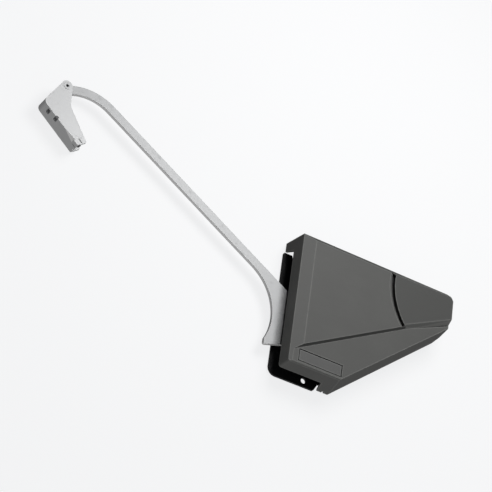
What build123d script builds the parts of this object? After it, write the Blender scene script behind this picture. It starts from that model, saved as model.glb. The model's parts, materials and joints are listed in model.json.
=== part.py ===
from build123d import *
import os
from math import atan2, cos, degrees, hypot, radians, sin

# Lift-up flap stay for the left side wall of a cabinet, arm raised against its open stop.
# Frame: X to the rear of the cabinet, Z up, mounting face at Y = 0, body on the -Y side.
# The origin is the centre of the two front fixing holes, on the mounting face.
# Profiles lie on Plane.XZ, so a sketch's own axes are X and Z and its offset is the
# depth in front of the mounting face.

os.makedirs("parts", exist_ok=True)

# ---------------------------------------------------------------- driving dimensions
# depths in front of the mounting face
plate_thickness = 2.0
arm_depth = 8.4
arm_thickness = 3.2
cam_plate_thickness = 2.0
side_plate_depth = 24.0
post_head_height = 1.0
rim_depth = 0.4
slot_depth = 14.5
cavity_depth = 27.6
front_edge_depth = 29.0
lower_panel_depth = 30.0
upper_panel_depth = 32.3
pack_depth = 14.5
damper_depth = 18.0

# cover outline, near the panel
cover_front = -32.0
cover_bottom = -50.0
cover_top = 78.5
cover_tail = 130.8
foot_end = 23.5
wall = 1.8
front_draft = 2.0
top_draft = 1.8
floor_draft = 1.6
bevel_width = 11.2
top_bevel_height = 3.9

# step between the two panel levels, and the arc groove at the tail
step_start = (-19.9, -32.7)
step_bend = (83.0, 25.5)
step_run = 2.0
arc_centre = (128.4, 68.0)
arc_radius = 63.0

# base plate and its fixing holes
plate_front = -36.2
plate_bottom = -53.8
fixing_hole_radius = 2.6
fixing_half_spacing = 48.0
rear_fixing = (64.0, -4.0)

# main pivot, arm and cam
pivot = (-7.0, 5.0)
axle_radius = 5.0
running_clearance = 0.05
arm_width = 8.2
arm_rise = 29.15
arm_straight = 184.7
root_arc_centre = (-94.4, -6.0)
root_arc_radius = 50.0
tip_arc_radius = 45.0
tip_pin_angle = 121.9
tip_pin_offset = 1.5
tip_pin_radius = 2.0
closing_angle = 109.0

# spring pack, laid out along its own axis from the main pivot to the tail
pack_angle = 22.0
yoke_travel = 22.0
roller_start = 24.0
roller_radius = 7.0
yoke_pin_radius = 3.0
roller_gap = 0.2
rod_spacing = 21.4
rod_radius = 3.5
crosshead_start = 36.0
crosshead_length = 9.0
bridge_start = 114.0
bridge_length = 6.0
tail_block_start = 127.0
tail_block_length = 7.0
guide_pin_start = 40.5
coil_radius = 6.3
wire_radius = 1.15
coils = 11
screw_radius = 2.9
damper_offset = -23.7
damper_radius = 4.6

# arm-end bracket, laid out along its base wall from the tip pin
bracket_angle = -37.7
bracket_half_width = 7.2
cheek = 1.8
base_offset = -29.8

# ---------------------------------------------------------------- frames and helpers
arm_centre_depth = arm_depth + arm_thickness / 2
arm_back = (-cos(radians(arm_rise)), sin(radians(arm_rise)))
arm_up = (sin(radians(arm_rise)), cos(radians(arm_rise)))
cam_rate = yoke_travel / radians(closing_angle)


def at_depth(depth):
    """Plane parallel to the mounting face, a given depth in front of it."""
    return Plane.XZ.offset(depth)


def along_arm(distance, height):
    """Point along the straight arm: distance from its root, height above the arc centre."""
    x = root_arc_centre[0] + arm_back[0] * distance + arm_up[0] * height
    z = root_arc_centre[1] + arm_back[1] * distance + arm_up[1] * height
    return (x, z)


def polar(centre, radius, angle):
    """Point at a radius and an angle in degrees from a centre."""
    return (centre[0] + radius * cos(radians(angle)), centre[1] + radius * sin(radians(angle)))


def turned_plane(centre, angle, depth):
    """Plane at a depth whose x axis is turned by an angle in degrees about the centre."""
    x_axis = (cos(radians(angle)), 0, sin(radians(angle)))
    return Plane(origin=(centre[0], -depth, centre[1]), x_dir=x_axis, z_dir=(0, -1, 0))


def pack_plane(depth):
    """Plane of the spring pack: x along the pack from the main pivot, y across it."""
    return turned_plane(pivot, pack_angle, depth)


def pack_section(distance):
    """Plane square to the pack axis: x across the pack, y outward from the wall."""
    centre = polar(pivot, distance, pack_angle)
    along = (cos(radians(pack_angle)), 0, sin(radians(pack_angle)))
    across = (-sin(radians(pack_angle)), 0, cos(radians(pack_angle)))
    return Plane(origin=(centre[0], -pack_depth, centre[1]), x_dir=across, z_dir=along)


def save(builder, name):
    """Label a finished sub-part and write it to its own file."""
    builder.part.label = name
    export_step(builder.part, f"parts/{name}.step")


tip_arc_centre = along_arm(arm_straight, root_arc_radius + arm_width / 2 - tip_arc_radius)
tip_pin = polar(tip_arc_centre, tip_arc_radius + tip_pin_offset, tip_pin_angle)


def bracket_plane(depth):
    """Plane of the arm-end bracket: x along its base wall, y away from the base wall."""
    return turned_plane(tip_pin, bracket_angle, depth)


def cam_point(angle):
    """Point on the cam: a constant-rise spiral, less the roller's radius and gap."""
    radius = roller_start + cam_rate * radians(pack_angle - angle)
    turn = radians(angle)
    slope = hypot(radius, cam_rate)
    normal_x = (radius * cos(turn) - cam_rate * sin(turn)) / slope
    normal_z = (radius * sin(turn) + cam_rate * cos(turn)) / slope
    inset = roller_radius + roller_gap
    x = pivot[0] + radius * cos(turn) - inset * normal_x
    z = pivot[1] + radius * sin(turn) - inset * normal_z
    return (x, z)


cam_first = pack_angle + 24
cam_last = pack_angle - closing_angle - 12
cam_steps = 8
cam_angles = [cam_first + (cam_last - cam_first) * i / cam_steps for i in range(cam_steps + 1)]
cam_points = [cam_point(angle) for angle in cam_angles]
cam_end = cam_points[-1]


hub_first = degrees(atan2(cam_points[0][1] - pivot[1], cam_points[0][0] - pivot[0]))
hub_last = 200.0
hub_radius = hypot(cam_points[0][0] - pivot[0], cam_points[0][1] - pivot[1])

# cam spiral closed by the round hub behind it, shared by the arm and the cam plates
with BuildSketch() as cam_shape:
    with BuildLine():
        Spline(*cam_points)
        Line(cam_end, polar(pivot, hub_radius, hub_last))
        CenterArc(pivot, hub_radius, hub_first, hub_last - hub_first)
    make_face()


# ---------------------------------------------------------------- base plate
post_places = [(-21.0, 29.3), (4.0, 64.0), (60.0, 63.5), (54.0, -8.0)]
post_tenon_radius = 3.0

plate_points = [
    (plate_front, plate_bottom),
    (10.8, plate_bottom),
    (14.8, -46.0),
    (24.6, -46.0),
    (125.0, 41.5),
    (127.0, 46.0),
    (127.0, 70.0),
    (121.0, 75.0),
    (-17.0, 75.0),
    (-17.0, 63.4),
    (-25.4, 63.4),
    (-27.2, 69.5),
    (plate_front, 69.5),
]
plate_radii = [8, 2, 3, 2, 2, 2, 2, 3, 2, 1.5, 1, 0.8, 1.5]


def yoke_slot():
    """Straight slot in which the ends of the yoke's two pins travel."""
    first = roller_start
    last = guide_pin_start + yoke_travel
    middle = polar(pivot, (first + last) / 2, pack_angle)
    slot_radius = yoke_pin_radius + 0.3
    with Locations(Location(middle, pack_angle)):
        SlotOverall(last - first + 2 * slot_radius, 2 * slot_radius, mode=Mode.SUBTRACT)


with BuildPart() as base_plate:
    with BuildSketch(Plane.XZ):
        with BuildLine():
            FilletPolyline(*plate_points, radius=plate_radii, close=True)
        make_face()
        with Locations(pivot):
            Circle(axle_radius - 1, mode=Mode.SUBTRACT)
        with Locations(*post_places):
            Circle(post_tenon_radius, mode=Mode.SUBTRACT)
        with Locations((0, fixing_half_spacing), (0, -fixing_half_spacing), rear_fixing):
            Circle(fixing_hole_radius, mode=Mode.SUBTRACT)
        yoke_slot()
    extrude(amount=plate_thickness)
save(base_plate, "base_plate")

# ---------------------------------------------------------------- side plate
side_points = [
    (-26.0, -12.0),
    (6.0, -24.0),
    (46.0, -24.0),
    (116.0, 37.0),
    (121.5, 44.0),
    (121.5, 72.0),
    (-10.0, 72.0),
    (-28.0, 46.0),
]
access_radius = 5.5
peg_places = [(-16.0, 60.0), (98.0, 64.0), (36.0, -14.0)]
peg_radius = 2.2

with BuildPart() as side_plate:
    with BuildSketch(at_depth(side_plate_depth)):
        with BuildLine():
            FilletPolyline(*side_points, radius=4, close=True)
        make_face()
        with Locations(pivot):
            Circle(axle_radius - 1, mode=Mode.SUBTRACT)
        with Locations(*post_places):
            Circle(post_tenon_radius, mode=Mode.SUBTRACT)
        with Locations((0, fixing_half_spacing), rear_fixing):
            Circle(access_radius, mode=Mode.SUBTRACT)
        with Locations(*peg_places):
            Circle(peg_radius + 0.2, mode=Mode.SUBTRACT)
        yoke_slot()
    extrude(amount=plate_thickness)
save(side_plate, "side_plate")

# ---------------------------------------------------------------- spacer posts
post_radius = 4.0
post_head_radius = 4.5
side_plate_face = side_plate_depth + plate_thickness

with BuildPart() as spacer_posts:
    with BuildSketch(Plane.XZ):
        with Locations(*post_places):
            Circle(post_tenon_radius)
    extrude(amount=side_plate_face)
    with BuildSketch(at_depth(plate_thickness)):
        with Locations(*post_places):
            Circle(post_radius)
    extrude(amount=side_plate_depth - plate_thickness)
    with BuildSketch(at_depth(side_plate_face)):
        with Locations(*post_places):
            Circle(post_head_radius)
    extrude(amount=post_head_height)
save(spacer_posts, "spacer_posts")

# ---------------------------------------------------------------- open-stop bumper
bumper_radius = 5.2
bumper_depth = 7.0
bumper_length = 6.0

with BuildPart() as stop_bumper:
    with BuildSketch(at_depth(bumper_depth)):
        with Locations(post_places[0]):
            Circle(bumper_radius)
            Circle(post_radius, mode=Mode.SUBTRACT)
    extrude(amount=bumper_length)
    fillet(stop_bumper.edges().filter_by(GeomType.CIRCLE).sort_by(SortBy.RADIUS)[-2:], 0.6)
save(stop_bumper, "stop_bumper")

# ---------------------------------------------------------------- main axle
with BuildPart() as main_axle:
    with BuildSketch(Plane.XZ):
        with Locations(pivot):
            Circle(axle_radius - 1)
    extrude(amount=side_plate_face)
    with BuildSketch(at_depth(plate_thickness)):
        with Locations(pivot):
            Circle(axle_radius)
    extrude(amount=side_plate_depth - plate_thickness)
    with BuildSketch(at_depth(side_plate_face)):
        with Locations(pivot):
            Circle(axle_radius + 1)
    extrude(amount=post_head_height)
save(main_axle, "main_axle")

# ---------------------------------------------------------------- lever arm
arm_lower = root_arc_radius
arm_upper = root_arc_radius + arm_width
tip_inner = tip_arc_radius - arm_width / 2
tip_outer = tip_arc_radius + arm_width / 2
straight_angle = 90 - arm_rise
tip_sweep = tip_pin_angle - straight_angle
toe_angle = -25.4
toe_point = polar(root_arc_centre, root_arc_radius, toe_angle)
toe_bottom = (toe_point[0], -33.5)
root_lower_inner = (-22.0, -24.7)
bush_outer_radius = 7.0
tip_boss_radius = 5.2
tip_bush_radius = 3.2

rivet_radius = 1.6
rivet_places = [polar(pivot, 10.2, 150), polar(pivot, 10.2, 20), polar(pivot, 20.0, -75)]
upper_near_cover = along_arm(-39.6, arm_upper)
hub_shoulder = polar(pivot, hub_radius, 95)

with BuildPart() as lever_arm:
    with BuildSketch(at_depth(arm_depth)):
        with BuildLine():
            Line(along_arm(0, arm_lower), along_arm(arm_straight, arm_lower))
            CenterArc(tip_arc_centre, tip_inner, straight_angle, tip_sweep)
            Line(
                polar(tip_arc_centre, tip_inner, tip_pin_angle),
                polar(tip_arc_centre, tip_outer, tip_pin_angle),
            )
            CenterArc(tip_arc_centre, tip_outer, tip_pin_angle, -tip_sweep)
            Line(along_arm(arm_straight, arm_upper), along_arm(0, arm_upper))
            Line(along_arm(0, arm_upper), along_arm(0, arm_lower))
        make_face()
        with BuildLine():
            CenterArc(root_arc_centre, root_arc_radius, straight_angle, toe_angle - straight_angle)
            FilletPolyline(
                toe_point,
                toe_bottom,
                root_lower_inner,
                cam_end,
                pivot,
                hub_shoulder,
                upper_near_cover,
                radius=[1.5, 3, 0, 0, 0],
            )
            Line(upper_near_cover, along_arm(0, arm_upper))
            Line(along_arm(0, arm_upper), along_arm(0, arm_lower))
        make_face()
        add(cam_shape.sketch)
        with Locations(tip_pin):
            Circle(tip_boss_radius)
            Circle(tip_bush_radius, mode=Mode.SUBTRACT)
        with Locations(pivot):
            Circle(bush_outer_radius, mode=Mode.SUBTRACT)
        with Locations(*rivet_places):
            Circle(rivet_radius, mode=Mode.SUBTRACT)
    extrude(amount=arm_thickness)
save(lever_arm, "lever_arm")

# ---------------------------------------------------------------- cam plates
cam_plate_depths = [arm_depth - cam_plate_thickness, arm_depth + arm_thickness]

with BuildPart() as cam_plates:
    for depth in cam_plate_depths:
        with BuildSketch(at_depth(depth)):
            add(cam_shape.sketch)
            with Locations(pivot):
                Circle(bush_outer_radius, mode=Mode.SUBTRACT)
            with Locations(*rivet_places):
                Circle(rivet_radius, mode=Mode.SUBTRACT)
        extrude(amount=cam_plate_thickness)
save(cam_plates, "cam_plates")

# ---------------------------------------------------------------- cam rivets and main bush
cam_stack_depth = cam_plate_depths[0]
cam_stack = 2 * cam_plate_thickness + arm_thickness
cam_stack_face = cam_stack_depth + cam_stack
side_gap = 0.3

with BuildPart() as cam_rivets:
    with BuildSketch(at_depth(cam_stack_depth)):
        with Locations(*rivet_places):
            Circle(rivet_radius)
    extrude(amount=cam_stack)
save(cam_rivets, "cam_rivets")

with BuildPart() as main_bush:
    with BuildSketch(at_depth(cam_stack_depth)):
        with Locations(pivot):
            Circle(bush_outer_radius)
            Circle(axle_radius + running_clearance, mode=Mode.SUBTRACT)
    extrude(amount=cam_stack)
save(main_bush, "main_bush")

# ---------------------------------------------------------------- axle spacers
spacer_radius = 8.5
spacer_spans = {
    "inner_axle_spacer": (plate_thickness, cam_stack_depth - side_gap),
    "outer_axle_spacer": (cam_stack_face + side_gap, side_plate_depth),
}

for spacer_name, (near_wall, far_from_wall) in spacer_spans.items():
    with BuildPart() as axle_spacer:
        with BuildSketch(at_depth(near_wall)):
            with Locations(pivot):
                Circle(spacer_radius)
                Circle(axle_radius, mode=Mode.SUBTRACT)
        extrude(amount=far_from_wall - near_wall)
    save(axle_spacer, spacer_name)

# ---------------------------------------------------------------- cam roller and yoke pins
roller_length = 6.6
pin_gap = 0.4

with BuildPart() as cam_roller:
    with BuildSketch(pack_plane(arm_centre_depth - roller_length / 2)):
        with Locations((roller_start, 0)):
            Circle(roller_radius)
            Circle(yoke_pin_radius + running_clearance, mode=Mode.SUBTRACT)
    extrude(amount=roller_length)
    chamfer(cam_roller.edges().filter_by(GeomType.CIRCLE).sort_by(SortBy.RADIUS)[-2:], 0.4)
save(cam_roller, "cam_roller")

for pin_name, pin_place in (("roller_pin", roller_start), ("yoke_guide_pin", guide_pin_start)):
    with BuildPart() as yoke_pin:
        with BuildSketch(pack_plane(pin_gap)):
            with Locations((pin_place, 0)):
                Circle(yoke_pin_radius)
        extrude(amount=side_plate_face - 2 * pin_gap)
        chamfer(yoke_pin.edges().filter_by(GeomType.CIRCLE), 0.3)
    save(yoke_pin, pin_name)

# ---------------------------------------------------------------- spring yoke
fork_thickness = 2.5
fork_depths = [cam_stack_depth - side_gap - fork_thickness, cam_stack_face + side_gap]
crosshead_half_width = 18.5
crosshead_thickness = 18.8
ear_end = damper_offset - 3.2
ear_length = 4.0
ear_thickness = 6.4
damper_rod_radius = 1.5
rod_offsets = (rod_spacing / 2, -rod_spacing / 2)

with BuildPart() as spring_yoke:
    for depth in fork_depths:
        with BuildSketch(pack_plane(depth)):
            with BuildLine():
                Polyline(
                    (roller_start, 6.0),
                    (crosshead_start + 1, 11.0),
                    (crosshead_start + 1, -11.0),
                    (roller_start, -6.0),
                )
                ThreePointArc((roller_start, 6.0), (roller_start - 6.0, 0), (roller_start, -6.0))
            make_face()
            with Locations((roller_start, 0)):
                Circle(yoke_pin_radius, mode=Mode.SUBTRACT)
        extrude(amount=fork_thickness)
    with BuildSketch(pack_plane(fork_depths[0])):
        with Locations((crosshead_start, 0)):
            Rectangle(
                crosshead_length,
                2 * crosshead_half_width,
                align=(Align.MIN, Align.CENTER),
            )
    extrude(amount=crosshead_thickness)
    with BuildSketch(pack_plane(damper_depth - ear_thickness / 2)):
        with Locations((crosshead_start, ear_end)):
            Rectangle(ear_length, -ear_end, align=(Align.MIN, Align.MIN))
    extrude(amount=ear_thickness)
    with BuildSketch(pack_plane(0)):
        with Locations((guide_pin_start, 0)):
            Circle(yoke_pin_radius)
    extrude(amount=side_plate_face, mode=Mode.SUBTRACT)
    with BuildSketch(pack_section(crosshead_start)):
        with Locations(*[(across, 0) for across in rod_offsets]):
            Circle(rod_radius)
        with Locations((damper_offset, damper_depth - pack_depth)):
            Circle(damper_rod_radius)
    extrude(amount=crosshead_length, mode=Mode.SUBTRACT)
save(spring_yoke, "spring_yoke")

# ---------------------------------------------------------------- guide rods
rod_length = 74.0

with BuildPart() as guide_rods:
    with BuildSketch(pack_section(crosshead_start)):
        with Locations(*[(across, 0) for across in rod_offsets]):
            Circle(rod_radius)
    extrude(amount=rod_length)
    chamfer(guide_rods.edges().filter_by(GeomType.CIRCLE), 0.5)
save(guide_rods, "guide_rods")

# ---------------------------------------------------------------- springs
spring_gap = 0.3
spring_from = crosshead_start + crosshead_length + wire_radius + spring_gap
spring_to = bridge_start - wire_radius - spring_gap
spring_length = spring_to - spring_from
pack_direction = (cos(radians(pack_angle)), 0, sin(radians(pack_angle)))

for spring_name, rod_offset in (("upper_spring", rod_offsets[0]), ("lower_spring", rod_offsets[1])):
    seat = pack_section(spring_from).from_local_coords((rod_offset, 0, 0))
    with BuildPart() as spring:
        with BuildLine():
            coil = Helix(
                pitch=spring_length / coils,
                height=spring_length,
                radius=coil_radius,
                center=seat,
                direction=pack_direction,
            )
        with BuildSketch(Plane(origin=coil @ 0, z_dir=coil % 0)):
            Circle(wire_radius)
        sweep()
    save(spring, spring_name)

# ---------------------------------------------------------------- spring bridge
bridge_half_width = 18.0
bridge_half_depth = 8.0
screw_clearance = 0.1

with BuildPart() as spring_bridge:
    with BuildSketch(pack_section(bridge_start)):
        RectangleRounded(2 * bridge_half_width, 2 * bridge_half_depth, 3)
        with Locations(*[(across, 0) for across in rod_offsets]):
            Circle(rod_radius + running_clearance, mode=Mode.SUBTRACT)
        Circle(screw_radius + screw_clearance, mode=Mode.SUBTRACT)
    extrude(amount=bridge_length)
save(spring_bridge, "spring_bridge")

# ---------------------------------------------------------------- tail block
tail_block_half_width = 15.0
tail_block_depth = side_plate_depth - plate_thickness
tail_block_centre = plate_thickness + tail_block_depth / 2 - pack_depth

with BuildPart() as tail_block:
    with BuildSketch(pack_section(tail_block_start)):
        with Locations((0, tail_block_centre)):
            Rectangle(2 * tail_block_half_width, tail_block_depth)
        with Locations(*[(across, 0) for across in rod_offsets]):
            Circle(rod_radius + 0.5, mode=Mode.SUBTRACT)
        Circle(screw_radius + screw_clearance, mode=Mode.SUBTRACT)
    extrude(amount=tail_block_length)
save(tail_block, "tail_block")

# ---------------------------------------------------------------- force-adjusting screw
screw_start = bridge_start - 6.0
screw_head_start = tail_block_start + tail_block_length + side_gap
screw_head_radius = 5.0
screw_head_length = 4.0
clip_start = tail_block_start - side_gap - 1.2
clip_thickness = 1.2

with BuildPart() as force_screw:
    with BuildSketch(pack_section(screw_start)):
        Circle(screw_radius)
    extrude(amount=screw_head_start - screw_start)
    with BuildSketch(pack_section(screw_head_start)):
        Circle(screw_head_radius)
    extrude(amount=screw_head_length)
    with BuildSketch(pack_section(screw_head_start + screw_head_length - 2.5)):
        RegularPolygon(2.5, 6)
    extrude(amount=2.5, mode=Mode.SUBTRACT)
save(force_screw, "force_screw")

with BuildPart() as screw_clip:
    with BuildSketch(pack_section(clip_start)):
        Circle(screw_head_radius)
        Circle(screw_radius, mode=Mode.SUBTRACT)
        with Locations((screw_head_radius, 0)):
            Rectangle(screw_head_radius, 2.4, mode=Mode.SUBTRACT)
    extrude(amount=clip_thickness)
save(screw_clip, "screw_clip")

# ---------------------------------------------------------------- damper
damper_start = 64.0
damper_length = 34.0
damper_bore = 3.9
damper_cap_length = 3.0
damper_end = 2.0
damper_rod_length = 35.0
piston_start = 70.0
piston_length = 3.5
saddle_start = 80.0
saddle_length = 10.0
saddle_half_width = 5.1
damper_centre = (damper_offset, damper_depth - pack_depth)

with BuildPart() as damper_cylinder:
    with BuildSketch(pack_section(damper_start)):
        with Locations(damper_centre):
            Circle(damper_radius)
    extrude(amount=damper_length)
    with BuildSketch(pack_section(damper_start)):
        with Locations(damper_centre):
            Circle(damper_bore)
    extrude(amount=damper_length - damper_end, mode=Mode.SUBTRACT)
    rear_rim = damper_cylinder.edges().filter_by(GeomType.CIRCLE).sort_by(Axis.X)[-1]
    fillet(rear_rim, 1.0)
save(damper_cylinder, "damper_cylinder")

with BuildPart() as damper_cap:
    with BuildSketch(pack_section(damper_start)):
        with Locations(damper_centre):
            Circle(damper_bore)
            Circle(damper_rod_radius + running_clearance, mode=Mode.SUBTRACT)
    extrude(amount=damper_cap_length)
save(damper_cap, "damper_cap")

with BuildPart() as damper_rod:
    with BuildSketch(pack_section(crosshead_start)):
        with Locations(damper_centre):
            Circle(damper_rod_radius)
    extrude(amount=damper_rod_length)
save(damper_rod, "damper_rod")

with BuildPart() as damper_piston:
    with BuildSketch(pack_section(piston_start)):
        with Locations(damper_centre):
            Circle(damper_bore - 0.1)
            Circle(damper_rod_radius, mode=Mode.SUBTRACT)
    extrude(amount=piston_length)
save(damper_piston, "damper_piston")

with BuildPart() as damper_saddle:
    with BuildSketch(pack_section(saddle_start)):
        with Locations((damper_offset, damper_centre[1])):
            Rectangle(
                2 * saddle_half_width,
                side_plate_depth - damper_depth,
                align=(Align.CENTER, Align.MIN),
            )
            Circle(saddle_half_width)
            Circle(damper_radius, mode=Mode.SUBTRACT)
    extrude(amount=saddle_length)
save(damper_saddle, "damper_saddle")

# ---------------------------------------------------------------- cover shell
tail_shoulder = (124.3, cover_top)
tail_shoulder_low = (128.9, 75.8)
tail_upper = (cover_tail, 73.0)
tail_lower = (cover_tail, 53.6)
tail_nick = (127.8, 45.6)
hyp_end = (127.4, 40.2)
rim_foot_end = 26.4
rim_hyp_end = (130.6, 40.8)
rim_tail = 132.2
loft_depth = 34.0
front_corner_radius = 2.5

panel_outline = [
    (cover_front, cover_bottom),
    (foot_end, cover_bottom),
    hyp_end,
    tail_nick,
    tail_lower,
    tail_upper,
    tail_shoulder_low,
    tail_shoulder,
    (cover_front, cover_top),
]
rim_outline = [
    (cover_front - front_draft, cover_bottom - floor_draft),
    (rim_foot_end, cover_bottom - floor_draft),
    rim_hyp_end,
    (131.2, 46.0),
    (rim_tail, 53.6),
    (rim_tail, 73.8),
    (130.2, 77.2),
    (125.5, cover_top + top_draft),
    (cover_front - front_draft, cover_top + top_draft),
]

# step line between the two panel levels: lower panel below it
step_slope = atan2(step_bend[1] - step_start[1], step_bend[0] - step_start[0])
step_rise = upper_panel_depth - lower_panel_depth
step_taper = degrees(atan2(step_run, step_rise))
step_outline = [
    (step_start[0] - 60 * cos(step_slope), step_start[1] - 60 * sin(step_slope)),
    step_bend,
    (140.0, 51.2),
    (160.0, -80.0),
    (-60.0, -80.0),
]


def plane_through(first, second, third):
    """Plane through three (x, depth, z) points, with its normal away from the mounting wall."""
    corner, along, across = [Vector(x, -depth, z) for x, depth, z in (first, second, third)]
    normal = (along - corner).cross(across - corner)
    if normal.Y > 0:
        normal = -normal
    return Plane(origin=corner, z_dir=normal)


# flat cuts that dress the moulded block; each keeps the side towards the wall
front_bevel = plane_through(
    (cover_front, front_edge_depth, 0),
    (cover_front + bevel_width, upper_panel_depth, 0),
    (cover_front, front_edge_depth, 10),
)
chamfer_inset = 2.0
chamfer_depth = 10.0
slope_chamfer = plane_through(
    (foot_end, lower_panel_depth - chamfer_depth, cover_bottom),
    (hyp_end[0], lower_panel_depth - chamfer_depth, hyp_end[1]),
    (foot_end - chamfer_inset * 1.325, lower_panel_depth, cover_bottom),
)
top_bevel = plane_through(
    (0, front_edge_depth, cover_top),
    (10, front_edge_depth, cover_top),
    (0, upper_panel_depth, cover_top - top_bevel_height),
)
bottom_chamfer = plane_through(
    (0, lower_panel_depth - 0.9, cover_bottom),
    (10, lower_panel_depth - 0.9, cover_bottom),
    (0, lower_panel_depth, cover_bottom + 0.9),
)

# raised pod at the tail, inside the arc and above the step
pod_start = arc_centre[0] - arc_radius
pod_front_depth = 32.0
pod_tail_depth = 30.4
pod_face = plane_through(
    (pod_start, pod_front_depth, 0),
    (cover_tail, pod_tail_depth, 0),
    (pod_start, pod_front_depth, 10),
)
pod_low_bevel = plane_through(
    (step_bend[0], upper_panel_depth - 0.4, step_bend[1] + 5.4),
    (cover_tail, pod_tail_depth, tail_lower[1] + 0.2),
    (step_bend[0], lower_panel_depth + 0.4, step_bend[1] + 0.4),
)

with BuildSketch() as pod_shape:
    with Locations(arc_centre):
        Circle(arc_radius + 0.1)
    with BuildLine():
        Polyline(step_outline[1], step_outline[2], (200, 60), (200, 140), (40, 140), (40, 25.5), close=True)
    make_face(mode=Mode.INTERSECT)

with BuildPart() as pod_core:
    with BuildSketch(at_depth(cavity_depth)):
        add(pod_shape.sketch)
    extrude(amount=5)
    for cut in (pod_face, pod_low_bevel):
        split(bisect_by=cut, keep=Keep.BOTTOM)

with BuildPart() as pod_trim:
    with BuildSketch(at_depth(cavity_depth)):
        add(pod_shape.sketch)
    extrude(amount=5)
    add(pod_core.part, mode=Mode.SUBTRACT)

# arm slot through the front wall and the floor
slot_top = 67.0
slot_top_rise = 4.5
slot_end = 11.0
slot_end_rise = 4.0

# arc groove ahead of the pod
groove_first = 174.5
groove_sweep = 46.0
groove_floor = lower_panel_depth - 1.2
groove_profile = [
    (arc_radius + 6.4, upper_panel_depth + 0.3),
    (arc_radius + 3.4, upper_panel_depth - 0.9),
    (arc_radius + 3.0, groove_floor),
    (arc_radius + 0.3, groove_floor),
    (arc_radius, upper_panel_depth + 0.3),
]
groove_plane = Plane(
    origin=(arc_centre[0], 0, arc_centre[1]),
    x_dir=(cos(radians(groove_first)), 0, sin(radians(groove_first))),
    z_dir=(sin(radians(groove_first)), 0, -cos(radians(groove_first))),
)

# panel badge, blank, in a shallow recess
badge_size = (43.2, 10.2)
badge_centre = (-0.8, -41.3)
badge_gap = 0.8
badge_recess = 1.0
badge_bed = lower_panel_depth - badge_recess
peg_length = 4.8
tail_hole_radius = 4.5
foot_notch = 20.7
upper_hollow = [(-12, 74.5), (58, 74.5), (58, 15.5), (-12, -24.0)]

with BuildPart() as cover_shell:
    with BuildSketch(at_depth(rim_depth)):
        with BuildLine():
            Polyline(*rim_outline, close=True)
        make_face()
    with BuildSketch(at_depth(loft_depth)):
        with BuildLine():
            Polyline(*panel_outline, close=True)
        make_face()
    loft(ruled=True)
    front_corner = (cover_front - front_draft / 2, -front_edge_depth / 2, cover_bottom)
    fillet(cover_shell.edges().sort_by_distance(front_corner)[0], front_corner_radius)

    # two panel levels, then the bevels along the front, the slope and the floor
    with BuildSketch(at_depth(upper_panel_depth)):
        Rectangle(500, 500)
    extrude(amount=5, mode=Mode.SUBTRACT)
    with BuildSketch(at_depth(lower_panel_depth)):
        with BuildLine():
            Polyline(*step_outline, close=True)
        make_face()
    extrude(amount=2 * step_rise, taper=-step_taper, mode=Mode.SUBTRACT)
    for cut in (front_bevel, top_bevel, slope_chamfer, bottom_chamfer):
        split(bisect_by=cut, keep=Keep.BOTTOM)

    # pod and groove, then the badge recess
    add(pod_trim.part, mode=Mode.SUBTRACT)
    with BuildSketch(groove_plane):
        with BuildLine():
            Polyline(*groove_profile, close=True)
        make_face()
    revolve(axis=Axis(groove_plane.origin, (0, -1, 0)), revolution_arc=groove_sweep, mode=Mode.SUBTRACT)
    with BuildSketch(at_depth(badge_bed)):
        with Locations(badge_centre):
            Rectangle(badge_size[0] + 2 * badge_gap, badge_size[1] + 2 * badge_gap)
    extrude(amount=badge_recess, mode=Mode.SUBTRACT)

    # hollow inside, open to the wall
    with BuildSketch(at_depth(0)):
        with BuildLine():
            Polyline(*rim_outline, close=True)
        make_face()
        offset(amount=-wall, kind=Kind.INTERSECTION, mode=Mode.REPLACE)
    with BuildSketch(at_depth(cavity_depth)):
        with BuildLine():
            Polyline(*panel_outline, close=True)
        make_face()
        offset(amount=-wall - chamfer_inset, kind=Kind.INTERSECTION, mode=Mode.REPLACE)
    loft(ruled=True, mode=Mode.SUBTRACT)
    with BuildSketch(at_depth(cavity_depth)):
        with BuildLine():
            Polyline(*upper_hollow, close=True)
        make_face()
    extrude(amount=step_rise, mode=Mode.SUBTRACT)

    # arm slot: front wall, then floor, with a small notch in the foot behind it
    with BuildSketch(Plane.YZ.offset(cover_front - 6)):
        with BuildLine():
            Polyline(
                (0, cover_bottom - 6),
                (0, slot_top + slot_top_rise),
                (-slot_depth, slot_top),
                (-slot_depth, cover_bottom - 6),
                close=True,
            )
        make_face()
    extrude(amount=12, mode=Mode.SUBTRACT)
    with BuildSketch(Plane.XY.offset(cover_bottom - 6)):
        with BuildLine():
            Polyline(
                (cover_front - 6, 0),
                (slot_end + slot_end_rise, 0),
                (slot_end, -slot_depth),
                (cover_front - 6, -slot_depth),
                close=True,
            )
        make_face()
    extrude(amount=12, mode=Mode.SUBTRACT)
    with BuildSketch(Plane.XY.offset(cover_bottom - 3)):
        with Locations((foot_notch, 0)):
            Rectangle(1.8, 5.0)
    extrude(amount=6, mode=Mode.SUBTRACT)

    # pegs that locate the cover on the side plate, and the driver hole at the tail
    with BuildSketch(at_depth(side_plate_depth + 0.2)):
        with Locations(*peg_places):
            Circle(peg_radius)
    extrude(amount=peg_length)
    with BuildSketch(pack_section(130)):
        Circle(tail_hole_radius)
    extrude(amount=20, mode=Mode.SUBTRACT)
save(cover_shell, "cover_shell")

# ---------------------------------------------------------------- badge
with BuildPart() as badge:
    with BuildSketch(at_depth(badge_bed)):
        with Locations(badge_centre):
            RectangleRounded(*badge_size, 0.4)
    extrude(amount=badge_recess - 0.1)
    chamfer(badge.faces().sort_by(Axis.Y)[0].edges(), 0.15)
save(badge, "badge")

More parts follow.
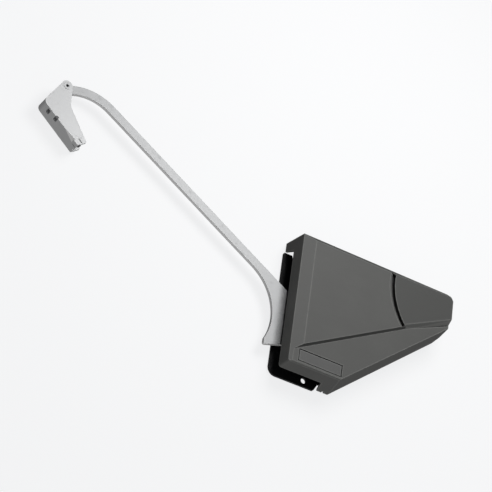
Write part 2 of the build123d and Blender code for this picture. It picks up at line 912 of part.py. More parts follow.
# ---------------------------------------------------------------- arm-end bracket housing
near_cheek_depth = arm_centre_depth + bracket_half_width - cheek
far_cheek_depth = arm_centre_depth - bracket_half_width
bracket_depth = 2 * bracket_half_width
lobe_radius = 5.2
base_inner = base_offset + cheek
cheek_outline = [
    (-lobe_radius, 0),
    (0.2, base_offset),
    (48.4, base_offset),
    (49.7, -25.5),
    (50.9, -20.4),
    (16.8, -10.4),
    (3.8, 3.6),
]
cheek_radii = [0, 5, 1, 1, 1, 8, 0]
wall_outline = [
    (-2.66, -14),
    (0.2, base_offset),
    (48.2, base_offset),
    (48.2, base_inner),
    (1.7, base_inner),
    (-0.86, -14),
]
wall_radii = [0.3, 5, 0.3, 0.3, 3.2, 0.3]
end_block_start = 44.0
end_block_end = 48.2
end_block_top = -21.6
screw_place_v = -26.1
screw_place_depth = 13.2
depth_screw_radius = 1.6
facet_start = 31.0
facet_end = 43.0
facet_width = 4.2
facet_rise = 1.5
latch_pivot = (30.0, -23.0)
latch_pin_radius = 1.5
latch_pin_length = bracket_depth - 1.0
window_places = [(9.7, 12.4), (18.9, 14.2)]


def bracket_wall_plane(height):
    """Plane along the bracket's base wall: x along it, y outward from the mounting wall."""
    bracket_x = (cos(radians(bracket_angle)), 0, sin(radians(bracket_angle)))
    origin = bracket_plane(0).from_local_coords((0, height, 0))
    away = (sin(radians(bracket_angle)), 0, -cos(radians(bracket_angle)))
    return Plane(origin=origin, x_dir=bracket_x, z_dir=away)


def bracket_end_plane(along):
    """Plane square to the bracket's base wall: x towards the mounting wall, y off the base."""
    bracket_x = (cos(radians(bracket_angle)), 0, sin(radians(bracket_angle)))
    origin = bracket_plane(0).from_local_coords((along, 0, 0))
    return Plane(origin=origin, x_dir=(0, 1, 0), z_dir=bracket_x)


with BuildPart() as bracket_housing:
    for depth in (far_cheek_depth, near_cheek_depth):
        with BuildSketch(bracket_plane(depth)):
            with BuildLine():
                FilletPolyline(*cheek_outline, radius=cheek_radii, close=True)
            make_face()
            Circle(lobe_radius)
        extrude(amount=cheek)
    with BuildSketch(bracket_plane(far_cheek_depth)):
        with BuildLine():
            FilletPolyline(*wall_outline, radius=wall_radii, close=True)
        make_face()
    extrude(amount=bracket_depth)
    with BuildSketch(bracket_plane(far_cheek_depth)):
        with Locations((end_block_start, base_inner)):
            Rectangle(
                end_block_end - end_block_start,
                end_block_top - base_inner,
                align=(Align.MIN, Align.MIN),
            )
    extrude(amount=bracket_depth)
    with BuildSketch(bracket_plane(near_cheek_depth + cheek)):
        Circle(3.4)
    extrude(amount=0.3)
    with BuildSketch(bracket_plane(far_cheek_depth)):
        Circle(tip_pin_radius)
    extrude(amount=bracket_depth + 1, mode=Mode.SUBTRACT)
    with BuildSketch(bracket_plane(far_cheek_depth)):
        with Locations(latch_pivot):
            Circle(latch_pin_radius)
    extrude(amount=latch_pin_length, mode=Mode.SUBTRACT)
    with BuildSketch(bracket_plane(near_cheek_depth)):
        with Locations((46.5, -24.6)):
            SlotOverall(4.6, 0.9)
    extrude(amount=cheek, mode=Mode.SUBTRACT)
    with BuildSketch(bracket_wall_plane(base_inner)):
        with Locations(*window_places):
            RectangleRounded(3.5, 6.0, 0.6)
        with Locations((46.8, 12.2)):
            Rectangle(4.4, 0.8)
    extrude(amount=cheek, mode=Mode.SUBTRACT)
    # facet on the corner between the base wall and the near cheek, widening to the end
    for along, share in ((facet_end, 1.0), (facet_start, 0.05)):
        with BuildSketch(bracket_end_plane(along)):
            with BuildLine():
                Polyline(
                    (-near_cheek_depth - cheek, base_offset),
                    (-near_cheek_depth - cheek, base_offset + facet_rise * share),
                    (-near_cheek_depth - cheek + facet_width * share, base_offset),
                    close=True,
                )
            make_face()
    loft(ruled=True, mode=Mode.SUBTRACT)
    with BuildSketch(bracket_end_plane(end_block_start)):
        with Locations((-screw_place_depth, screw_place_v)):
            Circle(depth_screw_radius + 0.1)
    extrude(amount=end_block_end - end_block_start, mode=Mode.SUBTRACT)
save(bracket_housing, "bracket_housing")

# ---------------------------------------------------------------- bracket pin and tip bushes
with BuildPart() as bracket_pin:
    with BuildSketch(bracket_plane(far_cheek_depth)):
        Circle(tip_pin_radius)
        Circle(1.3, mode=Mode.SUBTRACT)
    extrude(amount=bracket_depth + 0.3)
save(bracket_pin, "bracket_pin")

bush_flange_radius = 5.0
sleeve_gap = 0.2
flange_spans = [
    (far_cheek_depth + cheek + side_gap, arm_depth),
    (arm_depth + arm_thickness, near_cheek_depth - side_gap),
]
sleeve_spans = [
    (arm_depth, arm_centre_depth - sleeve_gap / 2),
    (arm_centre_depth + sleeve_gap / 2, arm_depth + arm_thickness),
]

with BuildPart() as tip_bushes:
    for radius, spans in ((bush_flange_radius, flange_spans), (tip_bush_radius, sleeve_spans)):
        for near_wall, far_from_wall in spans:
            with BuildSketch(bracket_plane(near_wall)):
                Circle(radius)
                Circle(tip_pin_radius + running_clearance, mode=Mode.SUBTRACT)
            extrude(amount=far_from_wall - near_wall)
save(tip_bushes, "tip_bushes")

# ---------------------------------------------------------------- latch lever, pin and spring
latch_depth = 9.0
latch_width = 5.8
latch_outline = [
    (13.2, base_inner + 0.5),
    (16.4, base_inner + 2.0),
    (26.5, base_inner + 2.0),
    (33.5, base_inner + 2.6),
    (41.4, base_inner + 2.6),
    (41.4, base_inner + 6.0),
    (38.4, base_inner + 5.0),
    (33.5, base_inner + 8.2),
    (26.5, base_inner + 8.2),
    (24.0, base_inner + 4.6),
    (13.2, base_inner + 4.2),
]

with BuildPart() as latch_lever:
    with BuildSketch(bracket_plane(latch_depth)):
        with BuildLine():
            FilletPolyline(*latch_outline, radius=0.8, close=True)
        make_face()
        with Locations(latch_pivot):
            Circle(latch_pin_radius + running_clearance, mode=Mode.SUBTRACT)
    extrude(amount=latch_width)
save(latch_lever, "latch_lever")

with BuildPart() as latch_pin:
    with BuildSketch(bracket_plane(far_cheek_depth)):
        with Locations(latch_pivot):
            Circle(latch_pin_radius)
    extrude(amount=latch_pin_length)
save(latch_pin, "latch_pin")

latch_spring_radius = 2.4
latch_wire = 0.5
latch_spring_from = 5.2
latch_spring_length = 3.2
latch_seat = bracket_plane(latch_spring_from).from_local_coords((*latch_pivot, 0))

with BuildPart() as latch_spring:
    with BuildLine():
        latch_coil = Helix(
            pitch=latch_spring_length / 2.5,
            height=latch_spring_length,
            radius=latch_spring_radius,
            center=latch_seat,
            direction=(0, -1, 0),
        )
    with BuildSketch(Plane(origin=latch_coil @ 0, z_dir=latch_coil % 0)):
        Circle(latch_wire)
    sweep()
save(latch_spring, "latch_spring")

# ---------------------------------------------------------------- bracket depth screw
with BuildPart() as depth_screw:
    with BuildSketch(bracket_end_plane(end_block_start - 1.5)):
        with Locations((-screw_place_depth, screw_place_v)):
            Circle(depth_screw_radius)
    extrude(amount=end_block_end - end_block_start + 3.3)
    with BuildSketch(bracket_end_plane(end_block_end)):
        with Locations((-screw_place_depth, screw_place_v)):
            RegularPolygon(1.0, 6)
    extrude(amount=2.0, mode=Mode.SUBTRACT)
    chamfer(depth_screw.edges().filter_by(GeomType.CIRCLE).sort_by(Axis.X)[0], 0.3)
save(depth_screw, "depth_screw")
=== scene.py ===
import json
from math import radians

import bmesh
import bpy
from mathutils import Matrix, Vector


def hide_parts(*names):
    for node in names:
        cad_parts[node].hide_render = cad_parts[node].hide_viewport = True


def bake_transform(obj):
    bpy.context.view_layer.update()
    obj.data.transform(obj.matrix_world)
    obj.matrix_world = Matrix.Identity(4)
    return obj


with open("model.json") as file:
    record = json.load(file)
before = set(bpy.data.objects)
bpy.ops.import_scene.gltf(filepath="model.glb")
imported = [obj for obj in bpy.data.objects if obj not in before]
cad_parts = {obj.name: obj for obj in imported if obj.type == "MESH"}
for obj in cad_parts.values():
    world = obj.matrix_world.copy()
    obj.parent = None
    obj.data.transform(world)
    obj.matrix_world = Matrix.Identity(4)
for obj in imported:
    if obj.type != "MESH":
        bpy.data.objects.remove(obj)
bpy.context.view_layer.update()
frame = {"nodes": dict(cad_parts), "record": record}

NODES = frame["nodes"]
MM = 0.001


# ------------------------------------------------------------------ node helpers
class Shader:
    """One procedural material: a Principled surface and short calls that add to it."""

    def __init__(self, name, colour, roughness, metallic=0.0, specular=0.5):
        self.material = bpy.data.materials.new(name)
        self.material.use_nodes = True
        self.tree = self.material.node_tree
        self.tree.nodes.clear()
        self.output = self.add("ShaderNodeOutputMaterial")
        self.surface = self.add("ShaderNodeBsdfPrincipled")
        self.link(self.surface.outputs[0], self.output.inputs[0])
        self.surface.inputs["Metallic"].default_value = metallic
        self.surface.inputs["Specular IOR Level"].default_value = specular
        self.place = self.add("ShaderNodeTexCoord").outputs["Object"]
        self.colour = self.rgb(colour)
        self.rough = self.value(roughness)
        self.heights = []
        self.soft_normal = None

    def add(self, kind, **settings):
        node = self.tree.nodes.new(kind)
        for key, setting in settings.items():
            setattr(node, key, setting)
        return node

    def link(self, start, end):
        self.tree.links.new(start, end)

    def rgb(self, colour):
        node = self.add("ShaderNodeRGB")
        node.outputs[0].default_value = (*colour, 1)
        return node.outputs[0]

    def value(self, number):
        node = self.add("ShaderNodeValue")
        node.outputs[0].default_value = number
        return node.outputs[0]

    def math(self, operation, first, second=None, third=None, clamp=False):
        node = self.add("ShaderNodeMath", operation=operation, use_clamp=clamp)
        for socket, source in zip(node.inputs, (first, second, third)):
            if source is None:
                continue
            if isinstance(source, (int, float)):
                socket.default_value = source
            else:
                self.link(source, socket)
        return node.outputs[0]

    def noise(self, size, detail=3.0, roughness=0.55, stretch=(1, 1, 1), turn=(0, 0, 0), seed=0.0):
        """Noise with features of a real size in metres, along the row's axes."""
        mapping = self.add("ShaderNodeMapping")
        mapping.inputs["Rotation"].default_value = [radians(a) for a in turn]
        mapping.inputs["Scale"].default_value = [1 / (size * s) for s in stretch]
        mapping.inputs["Location"].default_value = (seed, seed * 0.37, seed * 0.71)
        self.link(self.place, mapping.inputs["Vector"])
        node = self.add("ShaderNodeTexNoise")
        node.inputs["Scale"].default_value = 1.0
        node.inputs["Detail"].default_value = detail
        node.inputs["Roughness"].default_value = roughness
        self.link(mapping.outputs[0], node.inputs["Vector"])
        return node.outputs["Fac"]

    def cells(self, size, seed=0.0):
        mapping = self.add("ShaderNodeMapping")
        mapping.inputs["Scale"].default_value = [1 / size] * 3
        mapping.inputs["Location"].default_value = (seed, seed, seed)
        self.link(self.place, mapping.inputs["Vector"])
        node = self.add("ShaderNodeTexVoronoi", feature="SMOOTH_F1")
        node.inputs["Scale"].default_value = 1.0
        self.link(mapping.outputs[0], node.inputs["Vector"])
        return node.outputs["Distance"]

    def band(self, source, low, high):
        """0 below low, 1 above high, smooth between."""
        node = self.add("ShaderNodeMapRange", interpolation_type="SMOOTHSTEP")
        node.inputs["From Min"].default_value = low
        node.inputs["From Max"].default_value = high
        self.link(source, node.inputs["Value"])
        return node.outputs["Result"]

    def tint(self, factor, colour, amount=1.0):
        """Lays a colour over the present one where factor is high."""
        node = self.add("ShaderNodeMix", data_type="RGBA")
        self.link(self.math("MULTIPLY", factor, amount), node.inputs[0])
        self.link(self.colour, node.inputs[6])
        node.inputs[7].default_value = (*colour, 1)
        self.colour = node.outputs[2]

    def vary(self, factor, low, high):
        """Multiplies the colour by low to high as factor goes from 0 to 1."""
        node = self.add("ShaderNodeMapRange")
        node.inputs["From Min"].default_value = 0.3
        node.inputs["From Max"].default_value = 0.7
        node.inputs["To Min"].default_value = low
        node.inputs["To Max"].default_value = high
        self.link(factor, node.inputs["Value"])
        scale = self.add("ShaderNodeVectorMath", operation="SCALE")
        self.link(self.colour, scale.inputs[0])
        self.link(node.outputs["Result"], scale.inputs["Scale"])
        self.colour = scale.outputs[0]

    def roughen(self, factor, amount):
        """Adds amount to the roughness as factor goes from 0.5 to 1, and takes it off below."""
        shift = self.math("MULTIPLY_ADD", factor, 2 * amount, -amount)
        self.rough = self.math("ADD", self.rough, shift, clamp=True)

    def relief(self, factor, depth):
        """Relief of a real depth in metres, carried by the bump."""
        self.heights.append((factor, depth))

    def soften(self, radius, samples=6):
        """Rounds the edges in the shading, by a real radius in metres."""
        node = self.add("ShaderNodeBevel", samples=samples)
        node.inputs["Radius"].default_value = radius
        self.soft_normal = node.outputs[0]
        return node.outputs[0]

    def crevices(self, reach, samples=8, alone=True):
        """1 in grooves and corners within a real reach in metres, 0 on open faces."""
        node = self.add("ShaderNodeAmbientOcclusion", samples=samples, only_local=alone)
        node.inputs["Distance"].default_value = reach
        return self.math("SUBTRACT", 1.0, node.outputs["AO"])

    def facing(self, direction, low, high):
        """1 where the surface faces a direction of the row's frame, 0 elsewhere."""
        place = self.add("ShaderNodeTexCoord")
        dot = self.add("ShaderNodeVectorMath", operation="DOT_PRODUCT")
        self.link(place.outputs["Normal"], dot.inputs[0])
        dot.inputs[1].default_value = direction
        return self.band(dot.outputs["Value"], low, high)

    def edges(self, radius, samples=6, low=0.02, high=0.22):
        """1 on the outer edges and 0 on the flats."""
        soft = self.add("ShaderNodeBevel", samples=samples)
        soft.inputs["Radius"].default_value = radius
        geometry = self.add("ShaderNodeNewGeometry")
        dot = self.add("ShaderNodeVectorMath", operation="DOT_PRODUCT")
        self.link(soft.outputs[0], dot.inputs[0])
        self.link(geometry.outputs["Normal"], dot.inputs[1])
        return self.band(self.math("SUBTRACT", 1.0, dot.outputs["Value"]), low, high)

    def finish(self):
        self.link(self.colour, self.surface.inputs["Base Color"])
        self.link(self.rough, self.surface.inputs["Roughness"])
        normal = self.soft_normal
        for factor, depth in self.heights:
            bump = self.add("ShaderNodeBump")
            bump.inputs["Strength"].default_value = 1.0
            bump.inputs["Distance"].default_value = depth
            self.link(factor, bump.inputs["Height"])
            if normal is not None:
                self.link(normal, bump.inputs["Normal"])
            normal = bump.outputs[0]
        if normal is not None:
            self.link(normal, self.surface.inputs["Normal"])
        return self.material


# ------------------------------------------------------------------ materials
ARC_CENTRE_X = 128.4 * MM
ARC_CENTRE_Z = 68.0 * MM


def tail_masks(m):
    """Masks on the cover for painted shade: the pod that stands out in the arc, the groove round it, and
    the step wall.
    """
    split = m.add("ShaderNodeSeparateXYZ")
    m.link(m.place, split.inputs[0])
    along = m.math("SUBTRACT", split.outputs["X"], ARC_CENTRE_X)
    up = m.math("SUBTRACT", split.outputs["Z"], ARC_CENTRE_Z)
    reach = m.math("SQRT", m.math("ADD", m.math("POWER", along, 2.0), m.math("POWER", up, 2.0)))
    outside = m.band(reach, 62.9 * MM, 63.3 * MM)
    proud = m.math("SUBTRACT", 1.0, m.band(split.outputs["Y"], -30.3 * MM, -30.1 * MM))
    pod = m.math("MULTIPLY", m.math("SUBTRACT", 1.0, outside), proud)
    near = m.math("SUBTRACT", 1.0, m.band(reach, 66.2 * MM, 66.7 * MM))
    wall_in = m.band(reach, 62.8 * MM, 62.95 * MM)
    shallow = m.math("SUBTRACT", 1.0, m.band(split.outputs["Y"], -28.6 * MM, -28.4 * MM))
    sunk = m.math("MULTIPLY", m.band(split.outputs["Y"], -31.6 * MM, -31.4 * MM), shallow)
    high = m.band(split.outputs["Z"], 28.0 * MM, 31.0 * MM)
    groove = m.math("MULTIPLY", m.math("MULTIPLY", m.math("MULTIPLY", wall_in, near), sunk), high)
    off_pod = m.math("MULTIPLY", proud, m.math("SUBTRACT", 1.0, pod))
    step = m.math("MULTIPLY", m.facing((0, 0, -1), 0.15, 0.3), off_pod)
    return pod, groove, step


def moulded(name, colour, roughness, grain=0.35 * MM, depth=0.010 * MM, edge=0.35 * MM, pod=None):
    """Moulded plastic with a spark-eroded grain, flow streaks, a painted highlight along the edges and
    painted shade in the crevices; with a pod colour, also painted shade on the pod, in the groove, on
    the step wall and on faces turned upwards.
    """
    m = Shader(name, colour, roughness, specular=0.3)
    fine = m.noise(grain, 2.0, 0.6)
    broad = m.noise(38 * MM, 2.0, 0.5, seed=3.1)
    streaks = m.noise(9 * MM, 3.0, 0.6, stretch=(4, 4, 0.7), turn=(0, 24, 0), seed=1.7)
    m.vary(broad, 0.95, 1.05)
    m.vary(streaks, 0.985, 1.015)
    m.vary(fine, 0.93, 1.07)
    if pod:
        pod_shade, groove, step = tail_masks(m)
        # painted shade: the whole pod takes a darker colour, standing in for its surface turned away
        # from the light
        m.tint(pod_shade, pod, 0.9)
    # painted shade: grooves and corners within 3.5 mm are darkened towards 0.15 of the colour
    crevice_shade = m.band(m.crevices(3.5 * MM), 0.10, 0.42)
    # painted highlight: edges outside the crevices are lightened to nearly twice the colour, broken into
    # patches by noise
    edge_highlight = m.math("MULTIPLY", m.edges(1.5 * MM, 8, 0.0004, 0.004), m.math("SUBTRACT", 1.0, crevice_shade))
    patchy = m.math("MULTIPLY_ADD", m.band(m.noise(3 * MM, 4.0, 0.7), 0.3, 0.75), 0.4, 0.6)
    m.tint(m.math("MULTIPLY", edge_highlight, patchy), [min(1, c * 1.9 + 0.01) for c in colour], 0.75)
    m.tint(crevice_shade, [c * 0.15 for c in colour], 0.92)
    if pod:
        # painted shade: the groove round the pod is darkened towards 0.12 of the colour
        m.tint(groove, [c * 0.12 for c in colour], 0.85)
        # painted shade: the downward-facing step wall is darkened towards 0.4 of the colour
        m.tint(step, [c * 0.4 for c in colour], 0.8)
        # painted shade: faces turned upwards are darkened towards 0.7 of the colour
        m.tint(m.facing((0, 0, 1), 0.4, 0.6), [c * 0.7 for c in colour], 0.8)
    m.roughen(fine, 0.07)
    m.roughen(broad, 0.03)
    m.soften(edge)
    m.relief(fine, depth)
    return m.finish()


def plated(name, colour, roughness, metallic, grain=0.5 * MM, shade=None, faces=()):
    """Satin-plated metal: a bead-blasted grain, faint drawn lines, handling marks and bright edges, with
    optional painted shade in crevices and painted light on faces turned given ways.
    """
    m = Shader(name, colour, roughness, metallic)
    fine = m.noise(grain, 3.0, 0.65)
    lines = m.noise(0.35 * MM, 2.0, 0.5, stretch=(40, 1, 1), turn=(0, 29, 0), seed=5.0)
    broad = m.noise(30 * MM, 3.0, 0.55, seed=2.0)
    marks = m.band(m.noise(7 * MM, 5.0, 0.75, seed=9.0), 0.56, 0.7)
    m.vary(broad, 0.97, 1.03)
    m.vary(fine, 0.965, 1.035)
    m.vary(lines, 0.985, 1.015)
    m.tint(marks, [c * 0.9 for c in colour], 0.35)
    m.tint(m.edges(0.4 * MM), [min(1, c * 1.18) for c in colour], 0.6)
    # painted light: faces turned a given way take a fixed pale grey
    for direction, low, high, bright in faces:
        m.tint(m.facing(direction, low, high), [bright] * 3, 0.9)
    # painted shade: front faces within the reach of other surfaces are darkened towards dark times the
    # colour
    if shade:
        reach, low, high, alone, dark, amount = shade
        near_front = m.facing((0, -1, 0), 0.3, 0.6)
        crevice_shade = m.math("MULTIPLY", m.band(m.crevices(reach, 12, alone), low, high), near_front)
        m.tint(crevice_shade, [c * dark for c in colour], amount)
    m.roughen(fine, 0.05)
    m.roughen(marks, 0.05)
    m.roughen(broad, 0.04)
    m.soften(0.3 * MM)
    m.relief(fine, 0.006 * MM)
    m.relief(lines, 0.0024 * MM)
    return m.finish()


def coated_plate(name, colour, roughness):
    """Pressed plate under a satin black coating: orange peel, dust and rubbed corners."""
    m = Shader(name, colour, roughness, 0.0, 0.3)
    peel = m.noise(0.8 * MM, 2.0, 0.5)
    dust = m.band(m.noise(11 * MM, 5.0, 0.7, seed=4.0), 0.5, 0.72)
    m.vary(peel, 0.9, 1.1)
    m.tint(dust, [c * 1.8 + 0.002 for c in colour], 0.3)
    worn = m.math("MULTIPLY", m.edges(0.3 * MM), m.band(m.noise(2 * MM, 4.0, 0.7, seed=6.0), 0.55, 0.75))
    m.tint(worn, (0.05, 0.05, 0.052), 0.4)
    m.roughen(peel, 0.06)
    m.roughen(dust, 0.1)
    m.soften(0.25 * MM)
    m.relief(peel, 0.008 * MM)
    return m.finish()


def turned(name, colour, roughness, line=0.12 * MM):
    """Turned or drawn steel: fine lines, a little oil darkening and bright rims."""
    m = Shader(name, colour, roughness, 0.8)
    lines = m.noise(line, 2.0, 0.5, stretch=(1, 30, 1), seed=2.5)
    oil = m.band(m.noise(5 * MM, 4.0, 0.6, seed=8.0), 0.45, 0.7)
    m.vary(lines, 0.93, 1.07)
    m.tint(oil, [c * 0.7 for c in colour], 0.5)
    m.tint(m.edges(0.3 * MM), [min(1, c * 1.25) for c in colour], 0.5)
    m.roughen(lines, 0.07)
    m.roughen(oil, 0.06)
    m.soften(0.2 * MM)
    m.relief(lines, 0.004 * MM)
    return m.finish()


def cast(name, colour, roughness):
    """As-cast zinc: a pebbled skin with cool patches."""
    m = Shader(name, colour, roughness, 0.9)
    pebble = m.cells(0.6 * MM, 3.0)
    patch = m.noise(6 * MM, 4.0, 0.6, seed=7.0)
    m.vary(patch, 0.88, 1.1)
    m.vary(pebble, 0.95, 1.05)
    m.tint(m.edges(0.4 * MM), [min(1, c * 1.2) for c in colour], 0.5)
    m.roughen(patch, 0.08)
    m.soften(0.3 * MM)
    m.relief(pebble, 0.02 * MM)
    return m.finish()


def soft_ring(name, colour):
    """Rubber with a dusty bloom."""
    m = Shader(name, colour, 0.75, 0.0, 0.3)
    fine = m.noise(0.25 * MM, 3.0, 0.6)
    bloom = m.band(m.noise(3 * MM, 4.0, 0.7, seed=2.0), 0.45, 0.7)
    m.vary(fine, 0.85, 1.15)
    m.tint(bloom, [c * 2 + 0.01 for c in colour], 0.4)
    m.roughen(fine, 0.08)
    m.soften(0.3 * MM)
    m.relief(fine, 0.012 * MM)
    return m.finish()


MATERIALS = {
    # the pod colour is painted shade, darker than the rest of the cover
    "cover_plastic": moulded("cover_plastic", (0.100, 0.101, 0.097), 0.55, pod=(0.077, 0.078, 0.075)),
    "badge_plastic": moulded(
        "badge_plastic",
        (0.104, 0.105, 0.103),
        0.5,
        grain=0.2 * MM,
        depth=0.004 * MM,
        edge=0.15 * MM,
    ),
    "black_nylon": moulded("black_nylon", (0.022, 0.022, 0.023), 0.55),
    "damper_plastic": moulded("damper_plastic", (0.05, 0.05, 0.055), 0.3, depth=0.003 * MM),
    "white_acetal": moulded("white_acetal", (0.72, 0.72, 0.68), 0.35, depth=0.004 * MM),
    "black_plate": coated_plate("black_plate", (0.004, 0.004, 0.0045), 0.5),
    "arm_nickel": plated(
        "arm_nickel",
        (0.45, 0.455, 0.46),
        0.55,
        0.25,
        # painted shade: the arm's front face is darkened where the cover stands over it near the slot
        shade=(20 * MM, 0.20, 0.5, False, 0.04, 0.97),
        # painted light: the arm's underside is lightened to a fixed pale grey
        faces=[((-0.5, 0, -0.866), 0.4, 0.6, 0.9)],
    ),
    "bracket_nickel": plated(
        "bracket_nickel",
        (0.57, 0.575, 0.58),
        0.55,
        0.25,
        grain=0.4 * MM,
        # painted shade: the bracket's front faces are darkened in its crevices
        shade=(4 * MM, 0.3, 0.7, True, 0.4, 0.4),
        # painted reflection: one lower facet of the bracket is brightened to a fixed pale grey
        faces=[((-0.573, -0.34, -0.743), 0.965, 0.975, 0.92)],
    ),
    # painted light: the latch's nickel is paler and less metallic than the bracket's, so it reads
    # lighter through the bracket's shaded windows
    "latch_nickel": plated("latch_nickel", (0.75, 0.75, 0.76), 0.5, 0.2),
    "zinc_plate": plated("zinc_plate", (0.55, 0.56, 0.58), 0.35, 1.0),
    "cast_zinc": cast("cast_zinc", (0.50, 0.51, 0.53), 0.45),
    "turned_steel": turned("turned_steel", (0.30, 0.305, 0.31), 0.5),
    "roller_steel": turned("roller_steel", (0.50, 0.51, 0.52), 0.2),
    "spring_steel": turned("spring_steel", (0.34, 0.35, 0.36), 0.32),
    "screw_steel": turned("screw_steel", (0.14, 0.14, 0.145), 0.4),
    "bumper_rubber": soft_ring("bumper_rubber", (0.02, 0.02, 0.02)),
}

for row in frame["record"]["subparts"]:
    node = NODES[row["node"]]
    node.data.materials.clear()
    node.data.materials.append(MATERIALS[row["material_slot"]])


# ------------------------------------------------------------------ springs cut in two across the pack's axis
PACK_AXIS = Vector((0.927184, 0.0, 0.374607))
SEAT_SHARE = 0.25
END_COIL = 2.0 * MM


def spring_piece(name, node, cut, at_seat):
    """The part of a spring on one side of a cut across the pack's axis, closed at the cut."""
    mesh = bmesh.new()
    mesh.from_mesh(node.data)
    mesh.transform(node.matrix_world)
    bmesh.ops.remove_doubles(mesh, verts=mesh.verts, dist=0.002 * MM)
    bmesh.ops.bisect_plane(
        mesh,
        geom=mesh.verts[:] + mesh.edges[:] + mesh.faces[:],
        plane_co=PACK_AXIS * cut,
        plane_no=PACK_AXIS,
        clear_inner=at_seat,
        clear_outer=not at_seat,
    )
    bmesh.ops.holes_fill(mesh, edges=[e for e in mesh.edges if e.is_boundary])
    data = bpy.data.meshes.new(name)
    mesh.to_mesh(data)
    mesh.free()
    data.polygons.foreach_set("use_smooth", [True] * len(data.polygons))
    data.materials.append(MATERIALS["spring_steel"])
    piece = bpy.data.objects.new(name, data)
    bpy.context.scene.collection.objects.link(piece)
    return piece


for spring in ("upper_spring", "lower_spring"):
    node = NODES[spring]
    spots = [(node.matrix_world @ v.co).dot(PACK_AXIS) for v in node.data.vertices]
    first, last = min(spots), max(spots)
    cut = last - SEAT_SHARE * (last - first)
    for name, body, tip, at_seat in (
        (f"{spring}_coils", "yoke", first + END_COIL, False),
        (f"{spring}_seat", "bridge", last - END_COIL, True),
    ):
        piece = spring_piece(name, node, cut, at_seat)
        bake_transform(piece)
        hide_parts(spring)


# ------------------------------------------------------------------ stage
def one_sided(name, colour, glow):
    """Pale matt surface with a glow of its own, seen from its front only."""
    material = bpy.data.materials.new(name)
    material.use_nodes = True
    tree = material.node_tree
    tree.nodes.clear()
    output = tree.nodes.new("ShaderNodeOutputMaterial")
    mix = tree.nodes.new("ShaderNodeMixShader")
    diffuse = tree.nodes.new("ShaderNodeBsdfDiffuse")
    diffuse.inputs["Color"].default_value = (*colour, 1)
    glowing = tree.nodes.new("ShaderNodeEmission")
    glowing.inputs["Color"].default_value = (0.985, 0.99, 1.0, 1)
    glowing.inputs["Strength"].default_value = glow
    both = tree.nodes.new("ShaderNodeAddShader")
    clear = tree.nodes.new("ShaderNodeBsdfTransparent")
    geometry = tree.nodes.new("ShaderNodeNewGeometry")
    tree.links.new(geometry.outputs["Backfacing"], mix.inputs[0])
    tree.links.new(diffuse.outputs[0], both.inputs[0])
    tree.links.new(glowing.outputs[0], both.inputs[1])
    tree.links.new(both.outputs[0], mix.inputs[1])
    tree.links.new(clear.outputs[0], mix.inputs[2])
    tree.links.new(mix.outputs[0], output.inputs[0])
    return material


def sheet(name, corners, material):
    mesh = bpy.data.meshes.new(name)
    mesh.from_pydata(corners, [], [(0, 1, 2, 3)])
    mesh.materials.append(material)
    board = bpy.data.objects.new(name, mesh)
    bpy.context.scene.collection.objects.link(board)
    board.visible_diffuse = False
    board.visible_glossy = False
    board.visible_transmission = False
    board.visible_shadow = False
    return board


WALL_Y = 0.0015
FLOOR_Z = -1.3
SPAN = 6.0
sheet(
    "backdrop",
    [(-SPAN, WALL_Y, FLOOR_Z), (SPAN, WALL_Y, FLOOR_Z), (SPAN, WALL_Y, SPAN), (-SPAN, WALL_Y, SPAN)],
    one_sided("backdrop_paint", (0.16, 0.16, 0.16), 0.82),
)
sheet(
    "floor",
    [(-SPAN, -SPAN, FLOOR_Z), (SPAN, -SPAN, FLOOR_Z), (SPAN, SPAN, FLOOR_Z), (-SPAN, SPAN, FLOOR_Z)],
    one_sided("floor_paint", (0.30, 0.30, 0.30), 0.62),
)


# ------------------------------------------------------------------ light
def panel_light(name, place, aim, size, power):
    """Round soft box at a place, turned to a point of the part."""
    data = bpy.data.lights.new(name, "AREA")
    data.shape = "DISK"
    data.size = size
    data.energy = power
    lamp = bpy.data.objects.new(name, data)
    bpy.context.scene.collection.objects.link(lamp)
    lamp.location = place
    lamp.rotation_mode = "QUATERNION"
    lamp.rotation_quaternion = (Vector(place) - Vector(aim)).to_track_quat("Z", "Y")
    return lamp


panel_light("key", (0.05, -0.62, 0.36), (-0.06, 0.0, 0.03), 0.42, 3.6)

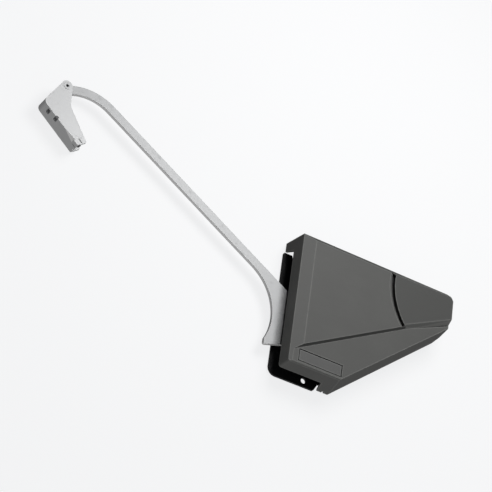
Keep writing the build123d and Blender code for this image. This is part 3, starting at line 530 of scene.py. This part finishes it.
world = bpy.data.worlds.new("studio")
bpy.context.scene.world = world
world.use_nodes = True
tree = world.node_tree
tree.nodes.clear()
world_out = tree.nodes.new("ShaderNodeOutputWorld")
background = tree.nodes.new("ShaderNodeBackground")
seen = tree.nodes.new("ShaderNodeBackground")
seen.inputs[0].default_value = (0.90, 0.905, 0.915, 1)
path = tree.nodes.new("ShaderNodeLightPath")
choose = tree.nodes.new("ShaderNodeMixShader")
direction = tree.nodes.new("ShaderNodeTexCoord")
split = tree.nodes.new("ShaderNodeSeparateXYZ")
tree.links.new(direction.outputs["Generated"], split.inputs[0])


def ramp(source, low, high, dark, bright):
    node = tree.nodes.new("ShaderNodeMapRange")
    node.interpolation_type = "SMOOTHSTEP"
    node.inputs["From Min"].default_value = low
    node.inputs["From Max"].default_value = high
    node.inputs["To Min"].default_value = dark
    node.inputs["To Max"].default_value = bright
    tree.links.new(source, node.inputs["Value"])
    return node.outputs["Result"]


total = tree.nodes.new("ShaderNodeMath")
total.operation = "MULTIPLY_ADD"
tree.links.new(ramp(split.outputs["Y"], -0.05, 0.4, 0.0, 1.0), total.inputs[0])
tree.links.new(ramp(split.outputs["X"], -0.3, 0.6, 0.02, 0.10), total.inputs[1])
tree.links.new(ramp(split.outputs["Z"], 0.0, -0.8, 0.21, 0.60), total.inputs[2])
tree.links.new(total.outputs[0], background.inputs["Strength"])
tree.links.new(path.outputs["Is Camera Ray"], choose.inputs[0])
tree.links.new(background.outputs[0], choose.inputs[1])
tree.links.new(seen.outputs[0], choose.inputs[2])
tree.links.new(choose.outputs[0], world_out.inputs[0])

# ------------------------------------------------------------------ camera
camera_data = bpy.data.cameras.new("camera")
camera_data.sensor_width = 36.0
camera_data.lens = 142.24
camera_data.clip_start = 0.05
camera_data.clip_end = 50
camera = bpy.data.objects.new("camera", camera_data)
bpy.context.scene.collection.objects.link(camera)
RIGHT = Vector((0.852, -0.508, 0.126))
DOWN = Vector((0.358, 0.390, -0.849))
AHEAD = RIGHT.cross(DOWN).normalized()
RIGHT = DOWN.cross(AHEAD).normalized()
DOWN = AHEAD.cross(RIGHT).normalized()
turn = Matrix((RIGHT, -DOWN, -AHEAD)).transposed().to_4x4()
camera.matrix_world = Matrix.Translation((-0.7368, -1.3328, -0.8306)) @ turn
bpy.context.scene.camera = camera
bpy.context.scene.view_settings.view_transform = "Standard"
